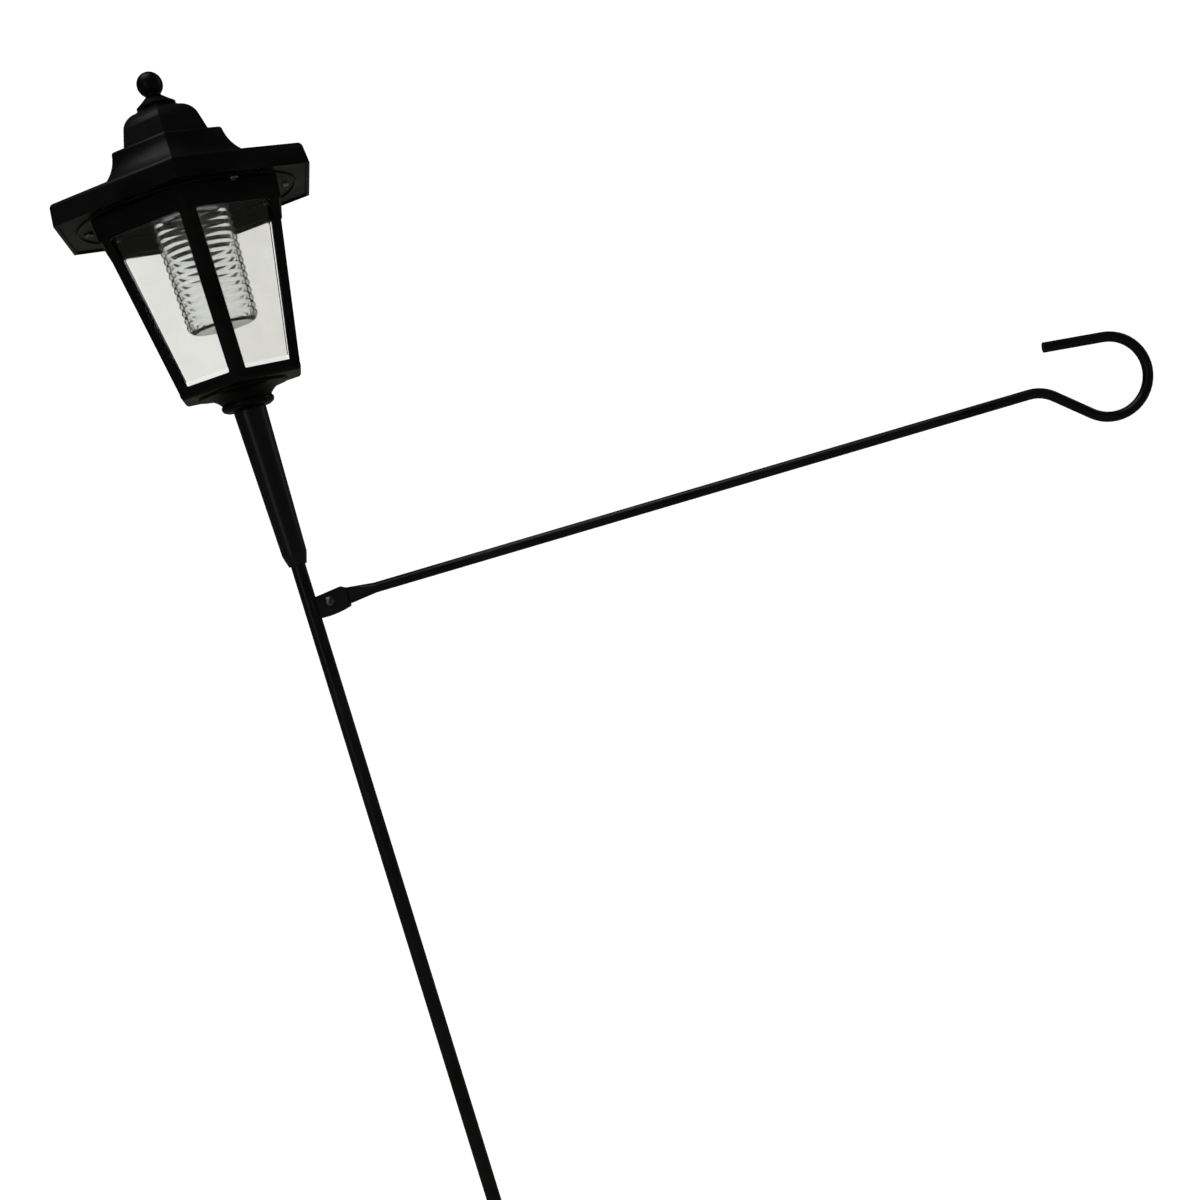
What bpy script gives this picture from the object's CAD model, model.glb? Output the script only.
"""Looks for the solar garden light with a folding flag arm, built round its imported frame.

Every mesh is in metres, in the frame of the CAD model: Z is up the pole, X runs out along the flag arm.
"""

import math

import bmesh
import bpy
from mathutils import Matrix, Vector


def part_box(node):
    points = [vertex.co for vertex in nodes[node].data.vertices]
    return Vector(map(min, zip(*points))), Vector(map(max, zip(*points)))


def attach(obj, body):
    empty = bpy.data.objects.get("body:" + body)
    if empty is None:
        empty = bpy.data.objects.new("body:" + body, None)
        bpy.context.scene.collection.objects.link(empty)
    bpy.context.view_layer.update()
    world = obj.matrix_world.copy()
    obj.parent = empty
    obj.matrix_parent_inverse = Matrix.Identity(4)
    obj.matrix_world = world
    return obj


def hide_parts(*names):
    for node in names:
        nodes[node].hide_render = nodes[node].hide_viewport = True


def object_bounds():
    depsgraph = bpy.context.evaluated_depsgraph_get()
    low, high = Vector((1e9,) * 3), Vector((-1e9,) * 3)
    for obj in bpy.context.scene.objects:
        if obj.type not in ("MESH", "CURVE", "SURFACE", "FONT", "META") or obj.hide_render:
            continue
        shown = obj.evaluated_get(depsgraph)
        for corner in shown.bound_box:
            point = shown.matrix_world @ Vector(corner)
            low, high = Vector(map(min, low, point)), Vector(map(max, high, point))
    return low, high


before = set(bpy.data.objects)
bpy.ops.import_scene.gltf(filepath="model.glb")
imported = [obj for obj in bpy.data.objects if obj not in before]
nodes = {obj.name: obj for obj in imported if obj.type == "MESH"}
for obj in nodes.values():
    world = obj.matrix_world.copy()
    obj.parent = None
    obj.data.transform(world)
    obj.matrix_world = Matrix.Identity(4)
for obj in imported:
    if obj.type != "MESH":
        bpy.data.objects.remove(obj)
cad_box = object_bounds()

MM = 0.001
SIDES = 6
LANTERN_TURN = math.radians(9.0)  # how far the lantern stands turned on its post


# ---------------------------------------------------------------- shader helpers

FINE_SHARE = 0.3  # how much of a surface's change of gloss follows its grain; the rest follows its shade


def new_shader(name, **constants):
    """A node material. The constants go straight on its Principled shader's own sockets."""
    made = bpy.data.materials.new(name)
    made.use_nodes = True
    tree = made.node_tree
    shader = tree.nodes["Principled BSDF"]
    for socket, value in constants.items():
        shader.inputs[socket.replace("_", " ")].default_value = value
    return made, tree, shader


def place(tree, stretch=(1, 1, 1)):
    """Coordinates in the row frame, in metres, scaled by `stretch`."""
    where = tree.nodes.new("ShaderNodeTexCoord")
    scaled = tree.nodes.new("ShaderNodeMapping")
    scaled.inputs["Scale"].default_value = stretch
    tree.links.new(where.outputs["Object"], scaled.inputs["Vector"])
    return scaled.outputs["Vector"]


def noise(tree, size, detail=3.0, stretch=(1, 1, 1)):
    """Noise with lumps about `size` metres across, from 0 to 1."""
    grain = tree.nodes.new("ShaderNodeTexNoise")
    grain.inputs["Scale"].default_value = 1 / size
    grain.inputs["Detail"].default_value = detail
    tree.links.new(place(tree, stretch), grain.inputs["Vector"])
    return grain.outputs["Fac"]


def spread(tree, value, low, high, start=0.35, end=0.65):
    """Stretches a 0 to 1 value from start..end to low..high."""
    ranged = tree.nodes.new("ShaderNodeMapRange")
    for socket, number in (("From Min", start), ("From Max", end), ("To Min", low), ("To Max", high)):
        ranged.inputs[socket].default_value = number
    tree.links.new(value, ranged.inputs["Value"])
    return ranged.outputs["Result"]


def blend(tree, value, first, second):
    """A colour from `first` to `second` by value; either may be an RGB triple or a socket."""
    mixed = tree.nodes.new("ShaderNodeMix")
    mixed.data_type = "RGBA"
    tree.links.new(value, mixed.inputs["Factor"])
    for socket, colour in ((mixed.inputs[6], first), (mixed.inputs[7], second)):
        if isinstance(colour, bpy.types.NodeSocket):
            tree.links.new(colour, socket)
        else:
            socket.default_value = (*colour, 1)
    return mixed.outputs[2]


def math_node(tree, operation, first, second=0.0):
    """One arithmetic step; each operand is a number or a socket."""
    step = tree.nodes.new("ShaderNodeMath")
    step.operation = operation
    for socket, operand in zip(step.inputs, (first, second)):
        if isinstance(operand, bpy.types.NodeSocket):
            tree.links.new(operand, socket)
        else:
            socket.default_value = operand
    return step.outputs["Value"]


def add_bump(tree, shader, height, depth):
    """Raises the surface by `depth` metres where height is 1, on top of any bump that is there."""
    raised = tree.nodes.new("ShaderNodeBump")
    raised.inputs["Strength"].default_value = 1.0
    raised.inputs["Distance"].default_value = depth
    tree.links.new(height, raised.inputs["Height"])
    if shader.inputs["Normal"].is_linked:
        tree.links.new(shader.inputs["Normal"].links[0].from_socket, raised.inputs["Normal"])
    tree.links.new(raised.outputs["Normal"], shader.inputs["Normal"])


def surface(name, dark, light, rough, patch, grain, depth, detail=3.0, stretch=(1, 1, 1), **constants):
    """A moulded, painted or plated surface: its shade and gloss drift over `patch` metres, and
    its texture has grains `grain` metres across and `depth` metres deep."""
    made, tree, shader = new_shader(name, **constants)
    drift = noise(tree, patch, 4.0, stretch)
    tree.links.new(blend(tree, spread(tree, drift, 0, 1), dark, light), shader.inputs["Base Color"])
    fine = noise(tree, grain, detail)
    slow = math_node(tree, "MULTIPLY", drift, 1 - FINE_SHARE)
    gloss = math_node(tree, "ADD", slow, math_node(tree, "MULTIPLY", fine, FINE_SHARE))
    tree.links.new(spread(tree, gloss, *rough), shader.inputs["Roughness"])
    add_bump(tree, shader, fine, depth)
    return made, tree, shader


# ---------------------------------------------------------------- materials, one per slot


def black_steel():
    """Satin black powder coat, with its fine orange peel."""
    return surface(
        "black_steel", (0.0008, 0.0008, 0.0009), (0.0024, 0.0024, 0.0027), (0.24, 0.40),
        patch=30 * MM, grain=1.1 * MM, depth=0.03 * MM,
        Specular_IOR_Level=0.25, Coat_Weight=0.08, Coat_Roughness=0.12,
    )[0]


def rivet_steel():
    """A plated rivet, worn bright on its crown."""
    return surface(
        "rivet_steel", (0.05, 0.05, 0.06), (0.30, 0.31, 0.34), (0.22, 0.42),
        patch=2 * MM, grain=0.4 * MM, depth=0.02 * MM,
        Metallic=1.0,
    )[0]


def zinc_steel():
    """Zinc plate with the faint spangle of small screws."""
    return surface(
        "zinc_steel", (0.26, 0.27, 0.29), (0.46, 0.47, 0.48), (0.22, 0.38),
        patch=4 * MM, grain=0.5 * MM, depth=0.01 * MM,
        Metallic=1.0,
    )[0]


def gloss_black():
    """The sleeve: glossy black plastic with faint flow marks along it."""
    made, tree, shader = surface(
        "gloss_black", (0.0007, 0.0007, 0.0009), (0.0018, 0.0018, 0.0024), (0.26, 0.38),
        patch=20 * MM, grain=1.6 * MM, depth=0.01 * MM,
        stretch=(1, 1, 0.2), Specular_IOR_Level=0.4,
    )
    flow = noise(tree, 0.006, 2.0, (1, 1, 0.08))
    add_bump(tree, shader, flow, 0.00006)
    return made


def satin_black():
    """Moulded black plastic: a fine spark-eroded grain over slight sink marks."""
    made, tree, shader = surface(
        "satin_black", (0.0006, 0.0006, 0.0006), (0.0018, 0.0018, 0.0016), (0.28, 0.42),
        patch=25 * MM, grain=0.7 * MM, depth=0.015 * MM,
        Specular_IOR_Level=0.15,
    )
    add_bump(tree, shader, noise(tree, 0.018, 1.0), 0.0002)
    return made


def nylon_grey():
    return surface(
        "nylon_grey", (0.19, 0.19, 0.20), (0.29, 0.29, 0.30), (0.45, 0.60),
        patch=6 * MM, grain=0.6 * MM, depth=0.02 * MM,
    )[0]


def white_plastic():
    return surface(
        "white_plastic", (0.72, 0.72, 0.70), (0.86, 0.86, 0.85), (0.30, 0.45),
        patch=12 * MM, grain=0.8 * MM, depth=0.01 * MM,
    )[0]


def clear_plastic():
    """The ribbed tube: clear moulded acrylic with a trace of flow lines."""
    made, tree, shader = new_shader("clear_plastic", Transmission_Weight=0.97, IOR=1.35)
    drift = noise(tree, 0.01, 2.0)
    tint = blend(tree, spread(tree, drift, 0, 1), (0.93, 0.94, 0.94), (0.97, 0.975, 0.97))
    tree.links.new(tint, shader.inputs["Base Color"])
    tree.links.new(spread(tree, drift, 0.015, 0.05), shader.inputs["Roughness"])
    add_bump(tree, shader, noise(tree, 0.004, 1.0), 0.00002)
    return made


def clear_pane():
    """A thin clear pane, smoked a little in its middle and polished along its border."""
    made, tree, shader = new_shader("clear_pane", Transmission_Weight=1.0, IOR=1.45)
    film = tree.nodes.new("ShaderNodeAttribute")
    film.attribute_name = "film"
    drift = noise(tree, 0.015, 3.0)
    smoke = blend(tree, spread(tree, drift, 0, 1), (0.84, 0.84, 0.805), (0.875, 0.875, 0.85))
    tree.links.new(blend(tree, film.outputs["Fac"], (0.99, 0.99, 0.99), smoke), shader.inputs["Base Color"])
    tree.links.new(spread(tree, drift, 0.02, 0.07), shader.inputs["Roughness"])
    add_bump(tree, shader, noise(tree, 0.02, 1.0), 0.00004)
    return made


def gasket_rubber():
    return surface(
        "gasket_rubber", (0.015, 0.015, 0.015), (0.04, 0.04, 0.038), (0.60, 0.80),
        patch=6 * MM, grain=0.4 * MM, depth=0.04 * MM,
    )[0]


TRACKS = {"Scale": 1.0, "Mortar Size": 0.22 * MM, "Brick Width": 6.1 * MM, "Row Height": 2.3 * MM}


def board_green():
    """Solder mask over copper: the tracks show as a lighter green under a glossy coat."""
    made, tree, shader = surface(
        "board_green", (0.008, 0.06, 0.028), (0.014, 0.10, 0.045), (0.20, 0.32),
        patch=12 * MM, grain=0.6 * MM, depth=0.01 * MM,
        Coat_Weight=0.5,
    )
    tracks = tree.nodes.new("ShaderNodeTexBrick")
    for socket, number in TRACKS.items():
        tracks.inputs[socket].default_value = number
    tree.links.new(place(tree), tracks.inputs["Vector"])
    mask = shader.inputs["Base Color"].links[0].from_socket
    tree.links.new(blend(tree, tracks.outputs["Fac"], mask, (0.03, 0.20, 0.08)), shader.inputs["Base Color"])
    add_bump(tree, shader, tracks.outputs["Fac"], 0.00003)
    return made


def led_epoxy():
    return surface(
        "led_epoxy", (0.86, 0.80, 0.52), (0.95, 0.90, 0.66), (0.05, 0.12),
        patch=3 * MM, grain=0.5 * MM, depth=0.005 * MM,
        Transmission_Weight=0.85, IOR=1.53,
    )[0]


def chip_black():
    return surface(
        "chip_black", (0.010, 0.010, 0.011), (0.022, 0.022, 0.024), (0.45, 0.60),
        patch=3 * MM, grain=0.3 * MM, depth=0.01 * MM,
    )[0]


def cell_green():
    """A rechargeable cell's plain shrink wrap, glossy and slightly puckered."""
    return surface(
        "cell_green", (0.02, 0.20, 0.07), (0.035, 0.28, 0.10), (0.15, 0.25),
        patch=8 * MM, grain=2 * MM, depth=0.04 * MM,
        Coat_Weight=0.6,
    )[0]


def contact_brass():
    return surface(
        "contact_brass", (0.60, 0.47, 0.22), (0.78, 0.66, 0.38), (0.20, 0.38),
        patch=4 * MM, grain=0.5 * MM, depth=0.01 * MM,
        Metallic=1.0,
    )[0]


def slider_grey():
    return surface(
        "slider_grey", (0.05, 0.05, 0.052), (0.085, 0.085, 0.088), (0.40, 0.55),
        patch=2 * MM, grain=0.4 * MM, depth=0.02 * MM,
    )[0]


def lead_red():
    return surface(
        "lead_red", (0.30, 0.012, 0.010), (0.48, 0.025, 0.020), (0.32, 0.46),
        patch=4 * MM, grain=0.6 * MM, depth=0.02 * MM,
    )[0]


FINGER_PITCH = 1.5 * MM
FINGER_WIDTH = 0.12 * MM
FINGERS = 100  # more than there are from the middle of a side to its end
CRYSTALS = 260  # in a metre


def across_side(tree):
    """How far a point of the lantern lies to the left or right of the middle of its own side."""
    split = tree.nodes.new("ShaderNodeSeparateXYZ")
    tree.links.new(place(tree), split.inputs["Vector"])
    x, y = split.outputs["X"], split.outputs["Y"]
    squares = math_node(tree, "ADD", math_node(tree, "MULTIPLY", x, x), math_node(tree, "MULTIPLY", y, y))
    reach = math_node(tree, "SQRT", squares)
    sector = math.tau / SIDES
    angle = math_node(tree, "ADD", math_node(tree, "ARCTAN2", y, x), sector / 2 - LANTERN_TURN + math.tau)
    angle = math_node(tree, "SUBTRACT", math_node(tree, "MODULO", angle, sector), sector / 2)
    return math_node(tree, "MULTIPLY", reach, math_node(tree, "SINE", angle))


def solar_blue():
    """A polycrystalline cell under clear resin: blue crystals crossed by fine silver fingers."""
    made, tree, shader = new_shader("solar_blue", Coat_Weight=1.0, Coat_Roughness=0.04)
    crystal = tree.nodes.new("ShaderNodeTexVoronoi")
    crystal.inputs["Scale"].default_value = CRYSTALS
    tree.links.new(place(tree, (1, 1, 0.2)), crystal.inputs["Vector"])
    split = tree.nodes.new("ShaderNodeSeparateColor")
    tree.links.new(crystal.outputs["Color"], split.inputs["Color"])
    silicon = blend(tree, split.outputs["Red"], (0.005, 0.010, 0.045), (0.014, 0.030, 0.115))
    across = math_node(tree, "ADD", across_side(tree), FINGERS * FINGER_PITCH)
    finger = math_node(tree, "LESS_THAN", math_node(tree, "MODULO", across, FINGER_PITCH), FINGER_WIDTH)
    tree.links.new(blend(tree, finger, silicon, (0.42, 0.43, 0.46)), shader.inputs["Base Color"])
    tree.links.new(spread(tree, noise(tree, 0.006), 0.22, 0.36), shader.inputs["Roughness"])
    return made


MAKERS = (
    black_steel, rivet_steel, zinc_steel, gloss_black, satin_black, nylon_grey, white_plastic, clear_plastic,
    clear_pane, gasket_rubber, board_green, led_epoxy, chip_black, cell_green, contact_brass, slider_grey,
    lead_red, solar_blue,
)
materials = {maker.__name__: maker() for maker in MAKERS}

for node in nodes.values():
    for slot in node.material_slots:
        slot.material = materials[slot.material.name.split(".")[0]]


# ---------------------------------------------------------------- mesh helpers


def skin(mesh, rings, closed=False):
    """Joins each ring of vertices to the next one, and the last to the first if `closed`."""
    followers = rings[1:] + rings[:1] if closed else rings[1:]
    for first, second in zip(rings, followers):
        for k in range(len(first)):
            ahead = (k + 1) % len(first)
            mesh.faces.new((first[k], first[ahead], second[ahead], second[k]))


def cap(mesh, rings):
    """Closes both ends of a row of rings."""
    mesh.faces.new(rings[0])
    mesh.faces.new(rings[-1])


def finish_mesh(mesh, name, smooth=True):
    """Turns the faces outwards and hands the mesh over."""
    bmesh.ops.recalc_face_normals(mesh, faces=mesh.faces)
    for face in mesh.faces:
        face.smooth = smooth
    data = bpy.data.meshes.new(name)
    mesh.to_mesh(data)
    mesh.free()
    return data


def add_piece(name, mesh, slot, body):
    """Puts a finished mesh in the scene with its slot's material, riding on a body."""
    made = bpy.data.objects.new(name, mesh)
    bpy.context.scene.collection.objects.link(made)
    mesh.materials.append(materials[slot])
    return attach(made, body)


# ---------------------------------------------------------------- window panes

RIM_START = 2.5 * MM  # from the pane's edge to where its polished border begins
RIM_END = 3.0 * MM
RECESS = 0.05 * MM  # the middle stands this much further in
PANE_TINTS = (0.85, 1.0, 0.8, 0.9, 0.65, 1.0)  # no two neighbours are smoked quite alike


def corners_of(node):
    """The eight corners of a CAD pane: four of its outer face, then four of its inner face, in turn."""
    spots = {tuple(round(c, 6) for c in v.co) for v in node.data.vertices}
    spots = [Vector(s) for s in spots]
    middle = sum(spots, Vector()) / len(spots)
    outward = Vector((middle.x, middle.y, 0)).normalized()
    along = Vector((-outward.y, outward.x, 0))
    face = {}
    for high in (False, True):
        level = [s for s in spots if (s.z > middle.z) == high]
        for right in (False, True):
            pair = [s for s in level if ((s - middle).dot(along) > 0) == right]
            pair.sort(key=lambda s: s.dot(outward))
            face[high, right] = pair
    turn = ((False, False), (False, True), (True, True), (True, False))
    return [face[key][1] for key in turn], [face[key][0] for key in turn]


def inset(corners, by):
    """A four-cornered face with each side moved inwards by the same distance."""
    moved = []
    for i, corner in enumerate(corners):
        ahead = (corners[(i + 1) % 4] - corner).normalized()
        back = (corners[i - 1] - corner).normalized()
        moved.append(corner + (ahead + back) * (by / ahead.cross(back).length))
    return moved


def make_pane(name, tint):
    """A moulded pane: a flat border that the frame holds, then a polished step to a smoked middle."""
    outer, inner = corners_of(nodes[name])
    mesh = bmesh.new()
    film = mesh.verts.layers.float.new("film")

    def ring(corners, amount):
        made = []
        for corner in corners:
            vertex = mesh.verts.new(corner)
            vertex[film] = amount
            made.append(vertex)
        return made

    def strip(first, second, flip=False):
        for i in range(4):
            quad = [first[i], first[(i + 1) % 4], second[(i + 1) % 4], second[i]]
            mesh.faces.new(quad[::-1] if flip else quad)

    inward = (inner[0] - outer[0]).normalized()
    outer_rings = [ring(outer, 0), ring(inset(outer, RIM_START), 0)]
    outer_rings.append(ring([c + inward * RECESS for c in inset(outer, RIM_END)], tint))
    inner_rings = [ring(inner, 0), ring(inset(inner, RIM_START), 0)]
    inner_rings.append(ring([c + inward * RECESS for c in inset(inner, RIM_END)], tint))
    for rings, flip in ((outer_rings, False), (inner_rings, True)):
        strip(rings[0], rings[1], flip)
        strip(rings[1], rings[2], flip)
        mesh.faces.new(rings[2][::-1] if flip else rings[2])
    strip(outer_rings[0], inner_rings[0], True)
    glazing = name + "_glazing"
    pane = add_piece(glazing, finish_mesh(mesh, glazing, smooth=False), "clear_pane", "lantern")
    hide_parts(name)


for side, tint in enumerate(PANE_TINTS):
    make_pane(f"window_pane_{side + 1}", tint)


# ---------------------------------------------------------------- moulded edges

ROUNDED = {
    "roof_shell": 0.35 * MM,
    "cage": 0.30 * MM,
    "roof_plate": 0.15 * MM,
    "lantern_base": 0.30 * MM,
    "arm_bracket": 0.20 * MM,
}
ROUNDED_FROM = math.radians(24)  # flatter edges belong to a curve and stay as they are


def round_edges(name, radius):
    """Gives a CAD piece the small rounding that a mould or a press leaves on every edge."""
    node = nodes[name]
    joined = node.modifiers.new("joined", "WELD")
    joined.merge_threshold = 0.001 * MM
    rounded = node.modifiers.new("rounded", "BEVEL")
    rounded.width = radius
    rounded.segments = 2
    rounded.limit_method = "ANGLE"
    rounded.angle_limit = ROUNDED_FROM
    rounded.harden_normals = True


for name, radius in ROUNDED.items():
    round_edges(name, radius)


# ---------------------------------------------------------------- weld beads

RIPPLE = 0.85 * MM  # length of one ripple of a weld
RIPPLE_DEPTH = 0.16  # a valley between two ripples, as a share of the bead's radius
RIPPLE_RINGS = 6
BEAD_SIDES = 20
TAPER_RINGS = 6  # an open bead tapers over this many rings at each end
TAPER = 0.9
ASLANT = Vector((0.577, 0.571, 0.583))
EAR_BEAD = 8.4 * MM  # length of the bead beside each ear of the bracket
EAR_BEAD_RINGS = 60
EAR_BEAD_IN = 1.6 * MM  # its middle lies this far behind the front of the pole
# the bead round the prong, in shares of the other beads' radius
TURN_RADIUS = 0.75
TURN_OUT = 0.4  # from the prong's own face to the bead's middle
TURN_OFF = 0.1  # from the pole's face to the bead's middle


def sweep_bead(mesh, spine, radius, closed):
    """A weld bead along a spine of points: a row of domed ripples."""
    count = len(spine)
    length = 0.0
    rings = []
    for i, spot in enumerate(spine):
        ahead = spine[(i + 1) % count] if closed or i + 1 < count else spot
        behind = spine[i - 1] if closed or i else spot
        along = (ahead - behind).normalized()
        across = along.cross(ASLANT if abs(along.z) > 0.9 else Vector((1, 0, 0))).normalized()
        over = along.cross(across)
        length += (spot - spine[i - 1]).length if i else 0.0
        phase = (length / RIPPLE) % 1.0
        swell = 1 - RIPPLE_DEPTH + RIPPLE_DEPTH * math.sin(math.pi * phase) ** 0.6
        if not closed:
            ends = min(i, count - 1 - i) / TAPER_RINGS
            swell *= math.sqrt(1 - (1 - min(ends, 1.0)) ** 2 * TAPER)
        ring = []
        for k in range(BEAD_SIDES):
            angle = math.tau * k / BEAD_SIDES
            reach = across * math.cos(angle) + over * math.sin(angle)
            ring.append(mesh.verts.new(spot + reach * radius * swell))
        rings.append(ring)
    skin(mesh, rings, closed)
    if not closed:
        cap(mesh, rings)


def make_welds():
    """The rippled beads that hold the step prong and the arm's bracket to the pole."""
    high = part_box("weld_beads")[1]
    pole_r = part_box("pole_upper")[1].x
    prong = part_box("step_prong")[1]
    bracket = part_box("arm_bracket")[1]
    weld = high.y - bracket.y
    prong_z = prong.z - prong.y
    mesh = bmesh.new()
    turn_r = prong.y + TURN_OUT * weld
    rings = RIPPLE_RINGS * round(math.tau * turn_r / RIPPLE)
    around = []
    for i in range(rings):
        angle = math.tau * i / rings
        y = turn_r * math.cos(angle)
        x = math.sqrt(pole_r**2 - y**2) + TURN_OFF * weld
        around.append(Vector((x, y, prong_z + turn_r * math.sin(angle))))
    sweep_bead(mesh, around, TURN_RADIUS * weld, closed=True)
    x = pole_r - EAR_BEAD_IN
    heights = [high.z - EAR_BEAD * i / EAR_BEAD_RINGS for i in range(EAR_BEAD_RINGS + 1)]
    for side in (-1, 1):
        sweep_bead(mesh, [Vector((x, side * bracket.y, z)) for z in heights], weld, closed=False)
    bead = add_piece("weld_ripples", finish_mesh(mesh, "weld_ripples"), "black_steel", "stand")
    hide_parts("weld_beads")


make_welds()


# ---------------------------------------------------------------- screws

THREAD_PITCH = 0.8 * MM
THREAD_DEPTH = 0.28 * MM
DRIVE_REACH = 1.35 * MM  # a cross recess: from its middle to the end of an arm
DRIVE_HALF = 0.3 * MM
DRIVE_DEPTH = 0.75 * MM
DRIVE_SOFT = 0.1 * MM  # width of the rounding along an arm of the recess
DRIVE_END_SOFT = 0.15 * MM  # and at its end
DRIVE_TAPER = (1.15, 0.3)  # an arm's half-width: its share at the middle, and what it loses by its end
DRIVE_RISE = 0.45  # the recess's floor rises by this share of its depth towards the ends
HEAD_SIDES = 64
HEAD_RINGS = 15  # of the domed crown
CROWN_SHARE = 0.93  # the crown's radius, as a share of the head's
CROWN_DROP = 0.22  # how far the dome falls off towards its edge, as a share of the head's height
# from the crown down to the seat, in shares of the head's radius and height
HEAD_EDGE = ((0.965, 0.70), (0.988, 0.58), (1.0, 0.42), (1.0, 0.10), (0.985, 0.0))
SHANK_SIDES = 24
THREAD_RINGS = 6  # in one pitch
PLAIN_SHANK = 0.6 * MM
SHANK_OVERLAP = 0.3 * MM  # the shank starts this far inside the head
TIP = 0.9 * MM  # length of the blunt tip
TIP_SHARE = 0.55  # its radius at the end, as a share of the shank's
SCREW_APART = 6 * MM  # points nearer than this to each other belong to the same screw


def soft_step(value, edge, width):
    """0 below the edge and 1 above it, with an even rise of the given width between."""
    t = min(max((value - edge) / width + 0.5, 0.0), 1.0)
    return t * t * (3 - 2 * t)


def recess_depth(x, y):
    """Depth of the cross recess at a place on the screw's head."""
    reach = math.hypot(x, y)
    wide, loss = DRIVE_TAPER
    half = DRIVE_HALF * (wide - loss * reach / DRIVE_REACH)
    inside = 1 - min(soft_step(abs(x), half, DRIVE_SOFT), soft_step(abs(y), half, DRIVE_SOFT))
    floor = 1 - DRIVE_RISE * (reach / DRIVE_REACH) ** 2
    return DRIVE_DEPTH * inside * floor * (1 - soft_step(reach, DRIVE_REACH, DRIVE_END_SOFT))


def add_head(mesh, at, way, radius, height, turn):
    """A pan head with a cross recess, standing off its seat along Z in the direction `way`."""
    profile = [(CROWN_SHARE * i / HEAD_RINGS, None) for i in range(1, HEAD_RINGS + 1)]
    profile.extend(HEAD_EDGE)
    spin = Matrix.Rotation(turn, 3, "Z")
    rings = []
    for share, level in profile:
        ring = []
        for k in range(HEAD_SIDES):
            angle = math.tau * k / HEAD_SIDES
            x, y = share * radius * math.cos(angle), share * radius * math.sin(angle)
            if level is None:
                rise = height * (1 - CROWN_DROP * share**2) - recess_depth(x, y)
            else:
                rise = height * level
            ring.append(mesh.verts.new(at + spin @ Vector((x, y, 0)) + Vector((0, 0, way * rise))))
        rings.append(ring)
    middle = mesh.verts.new(at + Vector((0, 0, way * (height - recess_depth(0, 0)))))
    for k in range(HEAD_SIDES):
        mesh.faces.new((middle, rings[0][k], rings[0][(k + 1) % HEAD_SIDES]))
    skin(mesh, rings)
    mesh.faces.new(rings[-1])


def add_shank(mesh, at, way, radius, length):
    """A threaded shank from just inside the head to a blunt tip."""
    rows = max(int(length / THREAD_PITCH * THREAD_RINGS), THREAD_RINGS)
    rings = []
    for i in range(rows + 1):
        depth = PLAIN_SHANK + (length - PLAIN_SHANK) * i / rows if i else -SHANK_OVERLAP
        ring = []
        for k in range(SHANK_SIDES):
            angle = math.tau * k / SHANK_SIDES
            phase = (depth / THREAD_PITCH - k / SHANK_SIDES) % 1.0
            cut = THREAD_DEPTH * abs(2 * phase - 1) if depth > PLAIN_SHANK else 0.0
            tip = min((length - depth) / TIP, 1.0)
            reach = (radius - cut) * (TIP_SHARE + (1 - TIP_SHARE) * max(tip, 0.0))
            spot = Vector((reach * math.cos(angle), reach * math.sin(angle), -way * depth))
            ring.append(mesh.verts.new(at + spot))
        rings.append(ring)
    skin(mesh, rings)
    cap(mesh, rings)


def make_screws(name, body):
    """Replaces a set of plain CAD screws by threaded ones with a cross recess, each in its place."""
    groups = []
    for vertex in nodes[name].data.vertices:
        spot = vertex.co
        for group in groups:
            if math.hypot(group[0].x - spot.x, group[0].y - spot.y) < SCREW_APART:
                group.append(spot.copy())
                break
        else:
            groups.append([spot.copy()])
    mesh = bmesh.new()
    for number, group in enumerate(groups):
        low = Vector([min(spot[i] for spot in group) for i in range(3)])
        high = Vector([max(spot[i] for spot in group) for i in range(3)])
        axis = (low + high) / 2
        reach = [(math.hypot(spot.x - axis.x, spot.y - axis.y), spot.z) for spot in group]
        head_r = max(reach)[0]
        head = [z for r, z in reach if r > 0.95 * head_r]
        shank_r = max(r for r, z in reach if r < 0.7 * head_r)
        way = 1 if (min(head) + max(head)) / 2 > axis.z else -1
        seat = min(head) if way > 0 else max(head)
        crown, tip = (high.z, low.z) if way > 0 else (low.z, high.z)
        at = Vector((axis.x, axis.y, seat))
        turn = 0.7 + 1.9 * number  # no two screws stop at the same turn
        add_head(mesh, at, way, head_r, abs(crown - seat), turn)
        add_shank(mesh, at, way, shank_r, abs(seat - tip))
    made = add_piece(name + "_threaded", finish_mesh(mesh, name + "_threaded"), "zinc_steel", body)
    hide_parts(name)


for trio in ("roof_screws", "cage_screws", "base_screws", "board_screws"):
    make_screws(trio, "lantern")


# ---------------------------------------------------------------- solar cells

RIBBON = 1.1 * MM  # width of the tinned ribbons that join the fingers
RIBBON_RISE = 0.12 * MM
RIBBON_PLACES = (0.3, 0.72)  # from the cell's inner edge to its outer one
RIBBON_SHORT = 0.9 * MM  # a ribbon stops this far from the cell's sides
RIBBON_STEPS = 9
RIBBON_END = 0.4  # its ends are pressed down to this share of its rise
RIBBON_OUTLINE = ((-0.5, -0.3), (-0.5, 0.45), (-0.36, 0.9), (0.0, 1.0), (0.36, 0.9), (0.5, 0.45), (0.5, -0.3))


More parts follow.
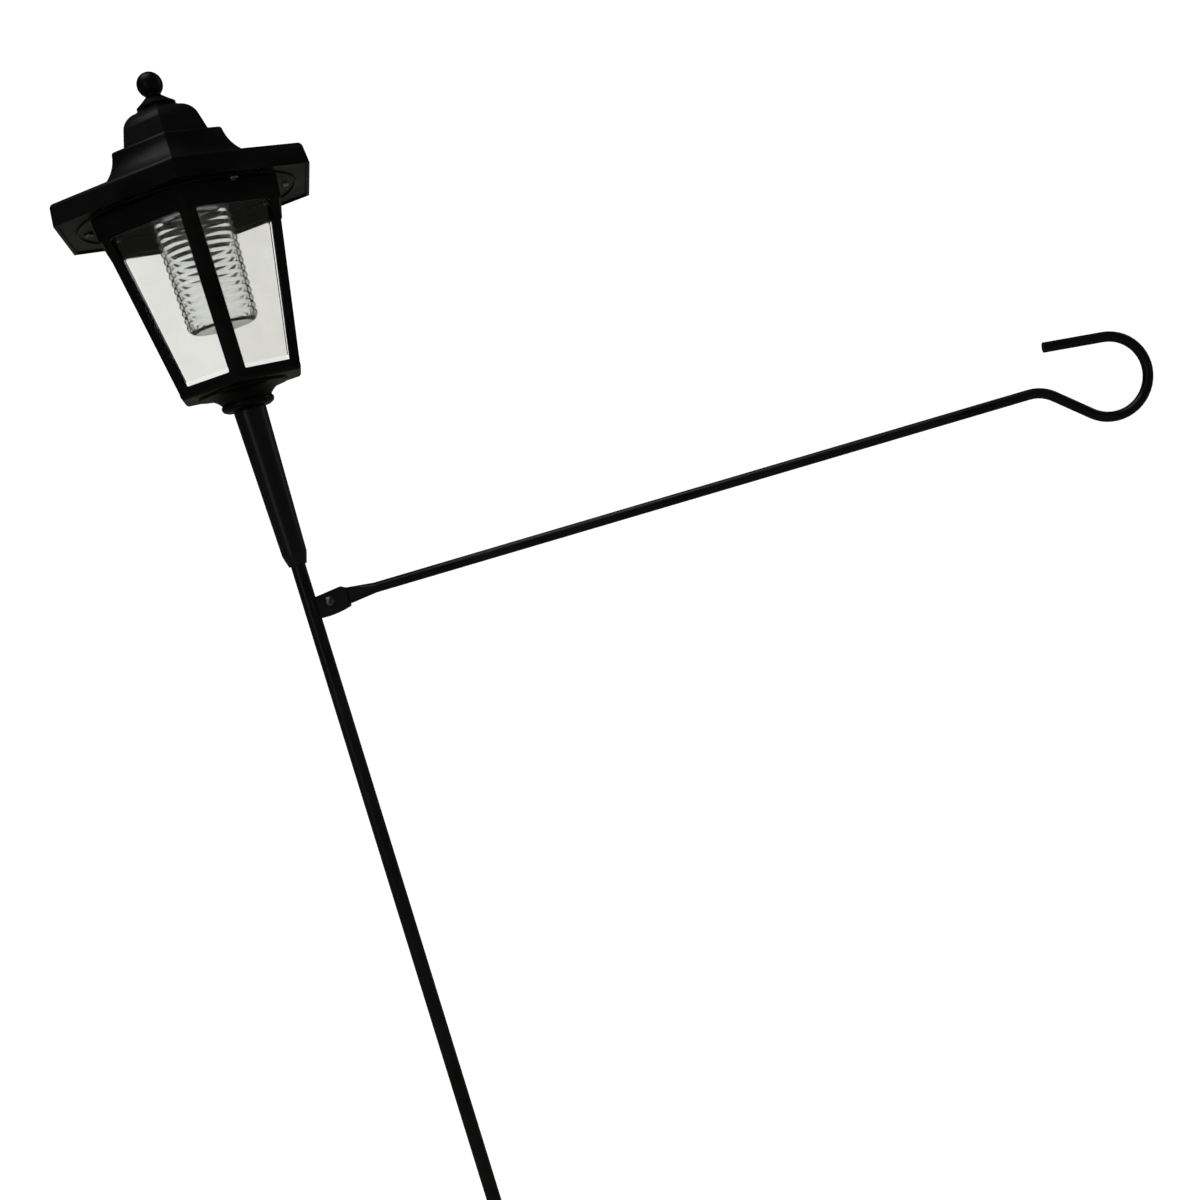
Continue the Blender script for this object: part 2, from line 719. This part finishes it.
def make_ribbons(name):
    """Two tinned ribbons soldered across a cell, domed a little and cut off short of its ends."""
    spots = {tuple(round(c, 6) for c in v.co) for v in nodes[name].data.vertices}
    top = []
    for spot in sorted(spots, key=lambda c: -c[2]):
        if all(math.hypot(spot[0] - t.x, spot[1] - t.y) > 1 * MM for t in top):
            top.append(Vector(spot))
    top.sort(key=lambda t: math.hypot(t.x, t.y))
    inner, outer = top[:2], top[2:]
    if (inner[0] - inner[1]).dot(outer[0] - outer[1]) < 0:
        outer.reverse()
    slope = ((outer[0] + outer[1]) - (inner[0] + inner[1])).normalized()
    along = (inner[1] - inner[0]).normalized()
    up = slope.cross(along)
    up = up if up.z > 0 else -up
    mesh = bmesh.new()
    for share in RIBBON_PLACES:
        start = inner[0].lerp(outer[0], share) + along * RIBBON_SHORT
        end = inner[1].lerp(outer[1], share) - along * RIBBON_SHORT
        rings = []
        for i in range(RIBBON_STEPS + 1):
            centre = start.lerp(end, i / RIBBON_STEPS)
            rise = RIBBON_RISE * (RIBBON_END if i in (0, RIBBON_STEPS) else 1.0)
            ring = [centre + slope * (x * RIBBON) + up * (z * rise) for x, z in RIBBON_OUTLINE]
            rings.append([mesh.verts.new(spot) for spot in ring])
        skin(mesh, rings)
        cap(mesh, rings)
    add_piece(name + "_ribbons", finish_mesh(mesh, name + "_ribbons", smooth=False), "zinc_steel", "lantern")


for side in range(SIDES):
    make_ribbons(f"solar_cell_{side + 1}")


# ---------------------------------------------------------------- floor, lights and camera

FLOOR_GAP = 1 * MM
FLOOR_RADIUS = 60.0
INSIDE_TUBE = 5.5  # a ray that has passed this many clear surfaces has been through the ribbed tube
TUBE_SHARE = 0.35  # how far such a ray counts as mirrored

floor_height = cad_box[0].z - FLOOR_GAP


def reflected(tree):
    """1 for a ray that a glossy surface has mirrored on its way, less for one mirrored inside the
    clear tube, and 0 for every other ray."""
    path = tree.nodes.new("ShaderNodeLightPath")
    mirrored = math_node(tree, "GREATER_THAN", path.outputs["Glossy Depth"], 0.5)
    in_tube = math_node(tree, "GREATER_THAN", path.outputs["Transmission Depth"], INSIDE_TUBE)
    share = math_node(tree, "SUBTRACT", 1.0, math_node(tree, "MULTIPLY", in_tube, 1 - TUBE_SHARE))
    return math_node(tree, "MULTIPLY", mirrored, share)


def make_floor():
    """A plain pale floor, just under the tip of the stake."""
    mesh = bmesh.new()
    bmesh.ops.create_circle(mesh, cap_ends=True, segments=96, radius=FLOOR_RADIUS)
    data = bpy.data.meshes.new("floor")
    mesh.to_mesh(data)
    mesh.free()
    floor = bpy.data.objects.new("floor", data)
    floor.location.z = floor_height
    bpy.context.scene.collection.objects.link(floor)
    made, tree, shader = new_shader("floor_paint", Roughness=0.9, Specular_IOR_Level=0.1)
    paint = blend(tree, reflected(tree), (0.93, 0.93, 0.93), (0.32, 0.33, 0.26))
    tree.links.new(paint, shader.inputs["Base Color"])
    data.materials.append(made)


def make_world():
    """White studio air, held back where gloss mirrors it, so that black surfaces stay black."""
    world = bpy.data.worlds.new("studio")
    bpy.context.scene.world = world
    world.use_nodes = True
    tree = world.node_tree
    path = tree.nodes.new("ShaderNodeLightPath")
    air = blend(tree, path.outputs["Is Diffuse Ray"], (1.05, 1.05, 1.05), (0.92, 0.92, 0.93))
    air = blend(tree, reflected(tree), air, (0.035, 0.035, 0.037))
    tree.links.new(air, tree.nodes["Background"].inputs["Color"])


def aim(thing, target):
    """Turns a lamp towards a point."""
    thing.rotation_mode = "QUATERNION"
    thing.rotation_quaternion = (Vector(target) - thing.location).to_track_quat("-Z", "Y")


def add_softbox(name, location, size, watts, tint):
    """A soft rectangular lamp that faces the middle of the lantern."""
    lamp = bpy.data.lights.new(name, "AREA")
    lamp.shape = "RECTANGLE"
    lamp.size, lamp.size_y = size
    lamp.energy = watts
    lamp.color = tint
    box = bpy.data.objects.new(name, lamp)
    box.location = location
    bpy.context.scene.collection.objects.link(box)
    aim(box, sum(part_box("cage"), Vector()) / 2)


def add_sky_light():
    """One broad soft light from above."""
    lamp = bpy.data.lights.new("sky_light", "SUN")
    lamp.energy = 0.9
    lamp.angle = math.radians(50)
    sky = bpy.data.objects.new("sky_light", lamp)
    sky.location = (0, 0, 3)
    bpy.context.scene.collection.objects.link(sky)
    aim(sky, (0.6, 0.5, 0))


# the camera stands in front of the arm and looks nearly along +Y, rolled so that the pole leans to the left
EYE = Vector((0.1259, -0.7717, 0.7824))
YAW = math.radians(0.534)
PITCH = math.radians(-4.339)
ROLL = math.radians(16.417)
SENSOR = 36.0
FOCAL_PIXELS = 1615.6
IMAGE_PIXELS = 1200


def make_camera():
    """The scene's camera, set from its place, its three angles and its focal length."""
    ahead = Vector((math.sin(YAW) * math.cos(PITCH), math.cos(YAW) * math.cos(PITCH), math.sin(PITCH)))
    level = Vector((math.cos(YAW), -math.sin(YAW), 0))
    above = level.cross(ahead)
    right = level * math.cos(ROLL) - above * math.sin(ROLL)
    up = level * math.sin(ROLL) + above * math.cos(ROLL)
    lens = bpy.data.cameras.new("camera")
    lens.sensor_width = SENSOR
    lens.lens = FOCAL_PIXELS / IMAGE_PIXELS * SENSOR
    lens.clip_start = 0.01
    lens.clip_end = 200
    camera = bpy.data.objects.new("camera", lens)
    bpy.context.scene.collection.objects.link(camera)
    camera.matrix_world = Matrix.Translation(EYE) @ Matrix((right, up, -ahead)).transposed().to_4x4()
    bpy.context.scene.camera = camera


make_floor()
make_world()
add_sky_light()
add_softbox("left_softbox", (-0.98, -1.74, 1.2), size=(0.34, 1.7), watts=2.2, tint=(0.78, 0.88, 1.0))
add_softbox("right_softbox", (1.9, 0.6, 1.5), size=(0.4, 1.4), watts=1.6, tint=(1.0, 0.98, 0.95))
make_camera()
bpy.context.scene.view_settings.view_transform = "Standard"
